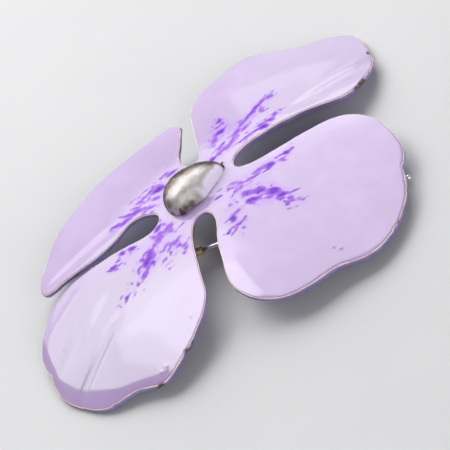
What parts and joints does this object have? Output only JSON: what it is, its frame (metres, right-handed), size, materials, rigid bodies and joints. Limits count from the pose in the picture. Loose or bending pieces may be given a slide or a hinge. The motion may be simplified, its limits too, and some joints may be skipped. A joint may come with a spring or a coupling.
{
  "type": "hat pin",
  "caption": "Four-petalled enamelled copper flower with a silver boss, on a folding steel stem with a pull-off point guard.",
  "frame": {"origin": "bottom centre of the pin's box, with the flower lying face up on its petal tips and folded stem", "axes": "+Z is the flower's normal, out of its enamelled front; X runs along the longest spread of the petals"},
  "size_m": [0.085, 0.067, 0.0127],
  "materials": {
    "front_enamel": "glossy opaque lilac enamel with violet brush flecks",
    "copper": "bare copper edge, lightly oxidised",
    "back_enamel": "glossy violet counter-enamel",
    "silver": "worn silver, scratched, with dark tarnish",
    "claw_copper": "dark oxidised copper",
    "washer": "matt nylon",
    "fitting_brass": "satin brass",
    "steel": "drawn steel wire, polished along its length",
    "guard_metal": "plated, fine turning marks",
    "grip": "matt nylon tube"
  },
  "bodies": {
    "flower": {"front_enamel": "front_enamel", "flower_core": "copper", "back_enamel": "back_enamel", "boss_shell": "silver", "boss_base": "silver", "boss_stud": "fitting_brass", "claw_seat": "claw_copper", "back_washer": "washer", "hinge_bracket": "fitting_brass", "stud_nut": "fitting_brass", "hinge_rivet": "steel"},
    "pin_stem": {"stem_knuckle": "fitting_brass", "stem": "steel"},
    "point_guard": {"guard_barrel": "guard_metal", "guard_grip": "grip", "guard_cap": "guard_metal"}
  },
  "joints": [
    {"name": "stem_hinge", "type": "hinge", "parent": "flower", "child": "pin_stem", "pos_m": [-0.0109, -0.00532, 0.00367], "axis": [0.3387, 0.9409, 0], "range_deg": [0, 90]},
    {"name": "guard_slide", "type": "slide", "parent": "pin_stem", "child": "point_guard", "axis": [0.9393, -0.3382, -0.0575], "range_m": [0, 0.0125]}
  ]
}
